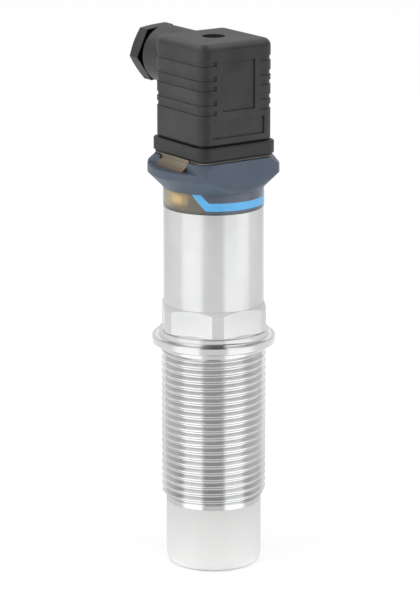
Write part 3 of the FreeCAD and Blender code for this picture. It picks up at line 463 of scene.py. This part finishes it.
def painted_glow_over_lamps(tree, here):
    """The brightness of the painted glow; each ramp runs from dark to bright between two places."""
    offset = add_node(tree, "Math", {"operation": "ADD", 1: -GLOW_MIDDLE * MM}, {0: here["X"]})
    aside = add_node(tree, "Math", {"operation": "ABSOLUTE"}, {0: offset.outputs[0]})
    ramps = []
    for value, (dark, bright) in (
        (here["Z"], GLOW_RISES),
        (here["Z"], GLOW_FALLS),
        (aside.outputs[0], GLOW_NARROWS),
    ):
        ramps.append(add_node(tree, "MapRange", {
            "interpolation_type": "SMOOTHSTEP",
            "From Min": dark * MM,
            "From Max": bright * MM,
        }, {"Value": value}).outputs[0])
    column = add_node(tree, "Math", {"operation": "MULTIPLY"}, {0: ramps[0], 1: ramps[1]})
    patch = add_node(tree, "Math", {"operation": "MULTIPLY"}, {0: column.outputs[0], 1: ramps[2]})
    return add_node(tree, "Math", {"operation": "MULTIPLY", 1: GLOW_STRENGTH},
                    {0: patch.outputs[0]}).outputs[0]


def straw_polycarbonate():
    material, tree = new_material("Polycarbonate, straw, frosted")
    here = position(tree)
    across = add_node(tree, "MapRange", {
        "From Min": -WINDOW_HALF_WIDTH * MM,
        "From Max": WINDOW_HALF_WIDTH * MM,
        "To Min": 0.62,
        "To Max": 1.12,
    }, {"Value": here["X"]})
    shaded = add_node(tree, "VectorMath", {"operation": "SCALE"},
                      {0: by_height(tree, WINDOW_PAINTED_LIGHT_BANDS), "Scale": across.outputs[0]})
    # Painted glow over the lamps: the window gives off light of its own, while the lamp lenses under it
    # give off none.
    shader = add_node(tree, "BsdfPrincipled", {
        "IOR": POLYCARBONATE_IOR,
        "Transmission Weight": 0.25,
        "Roughness": 0.22,
        "Emission Color": linear("fff2b0"),
    }, {
        "Base Color": shaded.outputs[0],
        "Emission Strength": painted_glow_over_lamps(tree, here),
        "Normal": relief(tree, grain(tree, 0.8), 0.01, 0.1),
    })
    add_node(tree, "OutputMaterial", links={"Surface": shader.outputs[0]})
    return material


dress(straw_polycarbonate(), "lamp_window")

# %% [markdown]
# ## The black parts
#
# Plug and gland nut are glass-filled nylon, dyed black: a dark grey under studio light, with a dull,
# slightly mottled skin where the glass fibres come near the surface. Their grooves, and the screw's well
# in the plug, get painted shade, as those of the cover do. The pin base is a smoother grade. Only the edge
# of its plate shows, as a pale line, and its colour goes by height: the dark bands above and below that
# line are painted shade where the plate meets the gasket and the cover. The gasket is nitrile rubber, a
# shade darker.

# %% Black nylon
# Painted shade darkens the grooves and the screw's well in the plug.
black_nylon = moulded("Nylon, glass-filled, black", "282829", "333334", 0.6, 0.06, (0.38, 0.52),
                      shade_reach_mm=5.0)
dress(black_nylon, "plug_housing", "gland_nut")

# %% The pin base and the rubber seals
# Painted shade: dark bands above and below the plate's pale edge, where it meets the gasket and the cover.
PLATE_PAINTED_SHADE_BANDS = [(133.4, "161617"), (133.46, "161617"), (133.52, "75706b"), (133.78, "75706b"),
               (133.86, "161617"), (134.35, "1e1e1f")]
base_nylon = moulded("Nylon, dark grey, smooth", "2a2a2b", "303031", 0.5, 0.006, (0.35, 0.45))
base_tree = base_nylon.node_tree
base_shader = base_tree.nodes["Principled BSDF"]
base_tree.links.new(by_height(base_tree, PLATE_PAINTED_SHADE_BANDS), base_shader.inputs["Base Color"])
dress(base_nylon, "pin_base")
dress(moulded("Nitrile rubber, black", "1d1d1e", "242425", 0.7, 0.008, (0.40, 0.52), 0.2, 1.52),
      "profile_gasket", "sensor_o_ring", "ring_o_ring", "gland_seal")

# %% [markdown]
# ## Inside
#
# What the device holds inside shows through the ring and the window, in the screw's well, and when
# the plug is pulled. The contacts are brass with a tin plating, the screws are zinc-plated steel,
# and the boards are glass-epoxy under green solder resist. Plating leaves a metal slightly cloudy; its
# marks are drawn two pixels wide, coarser than they are.

# %% Contacts, screws and boards


def bright_metal(name, first, second):
    material, tree = new_material(name)
    marks = grain(tree, 0.6, detail=4.0)
    sheen = add_node(tree, "MapRange", {"To Min": 0.25, "To Max": 0.4}, {"Value": marks})
    shader = add_node(tree, "BsdfPrincipled", {
        "Metallic": 1.0,
    }, {
        "Base Color": two_tones(tree, grain(tree, 3.0), first, second),
        "Roughness": sheen.outputs[0],
        "Normal": relief(tree, marks, 0.005, 0.08),
    })
    add_node(tree, "OutputMaterial", links={"Surface": shader.outputs[0]})
    return material


dress(bright_metal("Brass, tin plated", "cfcdc6", "dbd9d3"), "contact_blades", "earth_blade",
      "socket_contacts")
dress(bright_metal("Brass, bare", "c8a25c", "d6b26c"), "thread_insert", "active_electrode",
      "guard_electrode")
dress(bright_metal("Steel, zinc plated", "b9bcbf", "c9cbcc"), "terminal_screws", "centre_screw",
      "screw_washer", "gland_washer")
dress(moulded("Nylon, grey, moulded", "4a4a4c", "525254"), "contact_block")
dress(moulded("Polyester, cream, moulded", "d9cdae", "e3d8bc"), "board_holder", "electrode_carrier")
dress(moulded("Glass-epoxy, green resist", "1f5a3c", "256647", 0.3, 0.01, (0.25, 0.4)), "main_board",
      "led_board")
dress(moulded("Epoxy moulding compound", "18181a", "202022"), "board_parts")
dress(moulded("Silicone lens, milky", "efe9d4", "f6f0de", rough=(0.2, 0.3)), "status_leds")
dress(moulded("Wire jacket, red", "8c2a24", "98322b"), "connector_leads")
dress(moulded("Wire jacket, grey", "56585c", "5f6165"), "probe_lead")

# %% [markdown]
# ## The gland's pressure nut
#
# The nut is one moulding: a hexagon to hold and a hollow shank with a coarse rounded thread that
# screws into the plug's neck. The CAD solid has a plain shank, so this piece stands for it. Every
# point of such a nut lies at some distance along the axis and some radius from it, and the radius
# depends on the angle in two places only: on the hexagon, and on the thread, where the crest moves
# along by one pitch for each turn. So the surface is one closed loop of rings round the axis, each
# ring with a radius of its own for each angle. Modelled that way the helix needs no cutting tool.
# The sizes are in millimetres, and places along the axis are counted from the rod's axis.

# %% Sizes of the nut
NUT_AXIS_HEIGHT = 161.35
NUT_ACROSS_FLATS = 16.6
NUT_CORNER = NUT_ACROSS_FLATS / 2 / math.cos(math.radians(30))
NUT_TURN = math.radians(5)
NUT_SEAT = 28.85
NUT_TOP = 33.85
NUT_EDGE = 0.75
EDGE_SLOPE = 2
FLATS_END = NUT_TOP - 1.5 * NUT_EDGE
SHANK_END = 22.15
SHANK_RADIUS = 7.3
THREAD_PITCH = 1.5
THREAD_DEPTH = 0.65
CREST_WIDENING = 1.5
RUN_OUT = 0.9
RUN_OUT_SLOPE = 0.25
RIM_WALL = 0.35
RECESS_DEPTH = 2.2
CABLE_RADIUS = 4.6
STEPS_ROUND = 96
THREAD_RINGS = 68
CHAMFER_RINGS = 7
print("nut", NUT_ACROSS_FLATS, "mm across flats and", round(2 * NUT_CORNER, 1), "mm across corners")

# %% [markdown]
# An outline is a function that gives the radius at an angle. There are four: the hexagon with its
# outer edge turned down, the recess behind it, the thread, and a plain round one.

# %% Outlines of the nut


def hexagon_radius(angle):
    """Distance from the axis to a hexagon with a corner at angle 0, in millimetres."""
    return NUT_ACROSS_FLATS / 2 / math.cos(math.radians(math.degrees(angle) % 60 - 30))


def chamfered_hexagon(along):
    """The hexagon, turned down towards its outer face."""
    cone = NUT_CORNER - EDGE_SLOPE * max(0.0, along - (NUT_TOP - NUT_EDGE))
    return lambda angle: min(hexagon_radius(angle), cone)


def inside_of_hexagon(angle):
    """The wall of the recess behind the hexagon, which saves plastic and keeps the flats from sinking."""
    return hexagon_radius(angle) - RIM_WALL


def thread_at(along):
    """A rounded thread between root and crest, with a chamfered start."""
    limit = SHANK_RADIUS - THREAD_DEPTH + (along - SHANK_END)

    def radius(angle):
        turn = (along / THREAD_PITCH + angle / math.tau) % 1
        wave = 0.5 + 0.5 * math.cos(math.tau * turn)
        crest = min(1.0, wave * CREST_WIDENING)
        return min(SHANK_RADIUS - THREAD_DEPTH * (1 - crest), limit)

    return radius


def plain(radius):
    return lambda angle: radius


print("hexagon's radius at a corner and on a flat:", round(hexagon_radius(0), 2), "and",
      round(hexagon_radius(math.radians(30)), 2), "mm")

# %% [markdown]
# The rings are joined into a mesh in their order: out of the bore, along the thread, round the recess,
# along the hexagon, over its face and back into the bore. The last ring joins the first. Faces that
# meet at a small angle are shaded as one smooth surface, and the edges of the hexagon stay sharp.

# %% Build the nut
SHARP_FROM = math.radians(32)


def ringed_mesh(name, rings):
    """A closed loop of rings round the gland's axis; each ring is a place and a radius function."""
    points, faces = [], []
    for along, radius in rings:
        for step in range(STEPS_ROUND):
            angle = math.tau * step / STEPS_ROUND
            reach = radius(angle)
            points.append((-along * MM, reach * math.cos(angle + NUT_TURN) * MM,
                           (NUT_AXIS_HEIGHT + reach * math.sin(angle + NUT_TURN)) * MM))
    for ring in range(len(rings)):
        after = (ring + 1) % len(rings)
        for step in range(STEPS_ROUND):
            beside = (step + 1) % STEPS_ROUND
            faces.append((ring * STEPS_ROUND + step, ring * STEPS_ROUND + beside,
                          after * STEPS_ROUND + beside, after * STEPS_ROUND + step))
    mesh = bpy.data.meshes.new(name)
    mesh.from_pydata(points, [], faces)
    mesh.shade_smooth()
    mesh.set_sharp_from_angle(angle=SHARP_FROM)
    piece = bpy.data.objects.new(name, mesh)
    bpy.context.scene.collection.objects.link(piece)
    return piece


def spread(first, last, count):
    return [first + (last - first) * step / (count - 1) for step in range(count)]


def gland_pressure_nut():
    root = SHANK_RADIUS - THREAD_DEPTH
    rings = [(SHANK_END, plain(CABLE_RADIUS))]
    rings += [(along, thread_at(along)) for along in spread(SHANK_END, NUT_SEAT - RUN_OUT, THREAD_RINGS)]
    floor = NUT_SEAT + RECESS_DEPTH
    rings += [(NUT_SEAT - RUN_OUT + RUN_OUT_SLOPE, plain(root)), (floor, plain(root))]
    rings += [(floor, inside_of_hexagon), (NUT_SEAT, inside_of_hexagon)]
    rings += [(along, chamfered_hexagon(along)) for along in (NUT_SEAT, FLATS_END)]
    rings += [(along, chamfered_hexagon(along))
              for along in spread(NUT_TOP - NUT_EDGE, NUT_TOP, CHAMFER_RINGS)]
    rings += [(NUT_TOP, plain(CABLE_RADIUS + NUT_EDGE)), (NUT_TOP - NUT_EDGE, plain(CABLE_RADIUS))]
    nut = ringed_mesh("gland_pressure_nut", rings)
    nut.data.materials.append(black_nylon)
    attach(nut, "pressure_nut")
    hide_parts("gland_nut")
    print(nut.name, "has", len(rings), "rings and", len(nut.data.polygons), "faces")


gland_pressure_nut()

# %% [markdown]
# ## The floor and the light
#
# The part stands on a white sweep under an even, almost shadowless studio light: bright surroundings,
# one large lamp overhead that keeps the floor white, and a softbox on each side for some form. The
# sweep is thin acrylic with a weak lamp behind it, which keeps it white up to the frame's edge.

# %% Floor
FLOOR_HALF_WIDTH = 6.0


def white_sweep():
    mesh = bpy.data.meshes.new("floor")
    half = FLOOR_HALF_WIDTH
    mesh.from_pydata([(-half, -half, 0), (half, -half, 0), (half, half, 0), (-half, half, 0)], [],
                     [(0, 1, 2, 3)])
    floor = bpy.data.objects.new("floor", mesh)
    bpy.context.scene.collection.objects.link(floor)
    material, tree = new_material("White acrylic sweep, lit from behind")
    shader = add_node(tree, "BsdfPrincipled", {
        "Base Color": linear("fbfbfb"),
        "Roughness": 0.9,
        "Specular IOR Level": 0.1,
        "Emission Color": linear("ffffff"),
        "Emission Strength": 0.11,
    })
    add_node(tree, "OutputMaterial", links={"Surface": shader.outputs[0]})
    mesh.materials.append(material)


white_sweep()
print("floor", 2 * FLOOR_HALF_WIDTH, "m wide")

# %% [markdown]
# A lamp far larger than the part gives a shadow without an edge. The lamps are left out of all
# reflections, because the steel is lit by a tent of its own, further below. Each line gives a lamp's
# angle beside the camera, its angle above the floor, its distance, its size and its power.

# %% Lights


def soft_light(name, azimuth_deg, elevation_deg, distance, size, power):
    """A rectangular lamp aimed at the middle of the part; azimuth 0 is the camera's."""
    azimuth = CAMERA_AZIMUTH + math.radians(azimuth_deg)
    elevation = math.radians(elevation_deg)
    direction = Vector((math.sin(azimuth) * math.cos(elevation), -math.cos(azimuth) * math.cos(elevation),
                        math.sin(elevation)))
    data = bpy.data.lights.new(name, "AREA")
    data.shape = "RECTANGLE"
    data.size, data.size_y = size
    data.energy = power
    light = bpy.data.objects.new(name, data)
    light.location = TARGET + direction * distance
    light.rotation_euler = direction.to_track_quat("Z", "Y").to_euler()
    light.visible_glossy = False
    bpy.context.scene.collection.objects.link(light)
    print(name, "of", power, "W,", distance, "m away")


soft_light("left_softbox", -70, 25, 1.3, (0.9, 1.2), 2.2)
soft_light("right_softbox", 58, 25, 1.3, (0.9, 1.2), 1.2)
soft_light("overhead", 10, 80, 2.4, (3.2, 3.2), 17.0)

world = bpy.data.worlds.new("studio")
world.use_nodes = True
background = world.node_tree.nodes["Background"]
background.inputs["Color"].default_value = linear("fafafa")
background.inputs["Strength"].default_value = 0.80
bpy.context.scene.world = world

# %% [markdown]
# ## The light tent
#
# Polished steel shows nothing but its surroundings, so a photographer puts a tent of white cloth
# round it and lets a dark gap stand where the camera is. A cylinder turns its reflection by twice
# the angle: what stands 50 degrees beside the camera shows 25 degrees round the tube. The tent here
# is a narrow wall with a floor and a roof. Each row gives a height in millimetres and the brightness
# at some angles from the camera. The floor has a glow of its own, because a thread's flank sees the
# next flank, and that one sees the floor. The floor's outer ring is what the plain band at the foot
# of the thread shows. Only reflections see the tent, so it casts no shadow and hides nothing.

# %% How bright the tent is
TENT_GLOW = [
    (0.2, [(-180, 0.8), (-80, 0.85), (-68, 1.8), (-27, 1.75), (-22, 0.84), (22, 0.84), (27, 1.75),
           (68, 1.8), (80, 0.85), (180, 0.8)]),
    (44.0, [(-180, 1.25), (-120, 1.2), (-80, 1.0), (-68, 1.95), (-27, 1.9), (-22, 0.8), (22, 0.8),
            (27, 1.9), (68, 1.95), (80, 1.0), (120, 1.2), (180, 1.25)]),
    (48.0, [(-180, 0.9), (-80, 1.0), (-68, 1.2), (-27, 1.2), (-22, 0.8), (22, 0.8), (27, 1.15),
            (68, 1.15), (80, 1.0), (180, 0.9)]),
    (52.0, [(-180, 0.9), (-80, 1.0), (-68, 1.0), (-27, 1.0), (-22, 0.93), (22, 0.93), (27, 0.88),
            (68, 0.84), (80, 0.95), (180, 0.9)]),
    (66.0, [(-180, 0.9), (-80, 1.0), (-68, 1.0), (-27, 1.0), (-22, 0.9), (22, 0.9), (27, 0.86),
            (68, 0.82), (80, 0.95), (180, 0.9)]),
    (69.0, [(-180, 0.8), (-160, 1.1), (-150, 0.95), (-138, 0.85), (-100, 1.0), (-75, 1.08), (-69, 1.44),
            (-29, 1.46), (-21, 1.12), (19, 1.12), (26, 1.62), (77, 1.55), (86, 1.02), (110, 0.95),
            (138, 0.85), (150, 0.95), (160, 1.1), (180, 0.8)]),
    (100.0, [(-180, 0.8), (-160, 1.1), (-150, 0.9), (-138, 0.85), (-100, 1.0), (-75, 1.08), (-69, 1.44),
             (-29, 1.46), (-21, 1.12), (19, 1.12), (26, 1.62), (77, 1.55), (86, 1.02), (110, 0.95),
             (138, 0.85), (150, 0.9), (160, 1.1), (180, 0.8)]),
    (108.0, [(-180, 0.75), (-168, 0.8), (-164, 1.2), (-152, 1.2), (-140, 0.7), (-120, 0.75), (-95, 1.05),
             (-60, 1.0), (-26, 0.9), (-10, 0.4), (45, 0.3), (58, 0.9), (95, 1.1), (120, 0.75), (140, 0.7),
             (152, 1.2), (164, 1.2), (168, 0.8), (180, 0.75)]),
    (150.0, [(-180, 0.85), (-168, 0.8), (-164, 1.2), (-152, 1.2), (-140, 0.7), (-120, 0.7), (-95, 1.05),
             (-60, 1.0), (-26, 0.9), (-10, 0.25), (45, 0.15), (58, 0.8), (95, 1.0), (120, 0.7), (140, 0.7),
             (152, 1.2), (164, 1.2), (168, 0.8), (180, 0.85)]),
    (180.0, [(-180, 0.6), (-168, 0.6), (-160, 0.8), (-138, 0.6), (-120, 0.5), (-100, 0.6), (-60, 1.0),
             (-26, 0.9), (-10, 0.2), (45, 0.1), (80, 0.1), (95, 0.5), (120, 0.5), (138, 0.6), (160, 0.8),
             (168, 0.6), (180, 0.6)]),
    (205.0, [(-180, 0.4), (-160, 0.42), (-145, 1.2), (-130, 0.9), (-110, 0.5), (-90, 0.9), (-60, 1.3),
             (-28, 1.3), (-23, 0.2), (40, 0.2), (80, 0.1), (90, 0.5), (110, 0.5), (130, 0.9),
             (145, 1.2), (160, 0.42), (180, 0.4)]),
    (240.0, [(-180, 1.2), (-140, 1.3), (-115, 1.2), (-78, 1.3), (-60, 1.5), (-38, 1.5), (-30, 0.2),
             (30, 0.2), (38, 1.5), (60, 1.5), (66, 1.0), (100, 1.3), (140, 1.3), (180, 1.2)]),
    (290.0, [(-180, 1.2), (-140, 1.3), (-115, 1.5), (-78, 1.5), (-60, 1.5), (-42, 1.5), (-34, 0.15),
             (34, 0.15), (42, 1.5), (66, 1.5), (100, 1.5), (140, 1.3), (180, 1.2)]),
    (325.0, [(-180, 0.02), (-160, 0.02), (-150, 1.3), (-60, 1.6), (-45, 1.4), (-38, 0.15), (38, 0.15),
             (45, 1.4), (60, 1.6), (150, 1.3), (160, 0.02), (180, 0.02)]),
    (400.0, [(-180, 0.02), (-154, 0.02), (-145, 1.4), (-60, 1.6), (-50, 0.15), (50, 0.15), (60, 1.6),
             (145, 1.4), (154, 0.02), (180, 0.02)]),
    (440.0, [(-180, 0.02), (-154, 0.02), (-145, 1.4), (-70, 1.6), (-60, 0.15), (60, 0.15), (70, 1.6),
             (145, 1.4), (154, 0.02), (180, 0.02)]),
    (470.0, [(-180, 1.2), (-80, 1.5), (-68, 0.15), (68, 0.15), (80, 1.5), (180, 1.2)]),
    (550.0, [(-180, 1.2), (-110, 1.2), (-90, 0.15), (90, 0.15), (110, 1.2), (180, 1.2)]),
]
FLOOR_GLOW = [(-180, 0.75), (-135, 0.6), (-80, 0.55), (-74, 0.7), (-68, 1.8), (-27, 1.75), (-22, 0.5),
              (22, 0.5), (27, 1.75), (68, 1.8), (74, 0.7), (80, 0.55), (135, 0.6), (180, 0.75)]
BAND_GLOW = [(-180, 1.05), (-80, 1.1), (-68, 1.35), (-27, 1.4), (-22, 0.98), (22, 0.98), (27, 1.4),
             (68, 1.35), (80, 1.1), (180, 1.05)]
print("tent of", len(TENT_GLOW), "rows of brightness round the part")

# %% [markdown]
# The cloth is a mesh of rings again: two for the floor, two for its outer part, one for each row of
# the wall, and a small one in the middle of the roof. Each point carries its brightness as a number
# of its own, and the shader gives off just as much light.

# %% Build the tent
TENT_RADIUS = 110.0
FLOOR_RING = (2.0, 68.0)
BAND_RING = (74.0, 100.0)
ROOF_HOLE = 2.0
TENT_STEPS = 240


def read_table(table, angle):
    """The brightness at an angle, on straight lines between the table's rows."""
    for (start, low), (end, high) in zip(table, table[1:]):
        if angle <= end:
            return low + (high - low) * (angle - start) / (end - start)
    return table[-1][1]


def light_tent():
    low = TENT_GLOW[0][0]
    rings = [(radius, (low, FLOOR_GLOW)) for radius in FLOOR_RING]
    rings += [(radius, (low, BAND_GLOW)) for radius in BAND_RING]
    rings += [(TENT_RADIUS, row) for row in TENT_GLOW]
    rings.append((ROOF_HOLE, TENT_GLOW[-1]))
    points, faces, glow = [], [], []
    for radius, (height, table) in rings:
        for step in range(TENT_STEPS):
            angle = -180 + 360 * step / TENT_STEPS
            azimuth = CAMERA_AZIMUTH + math.radians(angle)
            points.append((radius * math.sin(azimuth) * MM, -radius * math.cos(azimuth) * MM, height * MM))
            glow.append(read_table(table, angle))
    for ring in range(len(rings) - 1):
        start, above = ring * TENT_STEPS, (ring + 1) * TENT_STEPS
        for step in range(TENT_STEPS):
            after = (step + 1) % TENT_STEPS
            faces.append((start + step, start + after, above + after, above + step))
    mesh = bpy.data.meshes.new("light_tent")
    mesh.from_pydata(points, [], faces)
    mesh.attributes.new("glow", "FLOAT", "POINT").data.foreach_set("value", glow)
    tent = bpy.data.objects.new("light_tent", mesh)
    bpy.context.scene.collection.objects.link(tent)
    material, tree = new_material("Lit white cloth")
    level = add_node(tree, "Attribute", {"attribute_name": "glow"})
    shader = add_node(tree, "Emission", links={"Strength": level.outputs["Fac"]})
    add_node(tree, "OutputMaterial", links={"Surface": shader.outputs[0]})
    mesh.materials.append(material)
    tent.visible_camera = False
    tent.visible_diffuse = False
    tent.visible_transmission = False
    tent.visible_volume_scatter = False
    tent.visible_shadow = False
    print("tent", 2 * TENT_RADIUS, "mm wide with", len(mesh.polygons), "faces")


light_tent()

# %% [markdown]
# ## How the picture is developed
#
# The plain sRGB transform keeps the hex colours as they were written. A denoiser takes out the last
# speckles that the light leaves in the soft shadows.

# %% View settings
scene = bpy.context.scene
scene.view_settings.view_transform = "Standard"
scene.view_settings.look = "None"
scene.view_settings.exposure = 0.0
scene.cycles.use_denoising = True
print("studio ready")
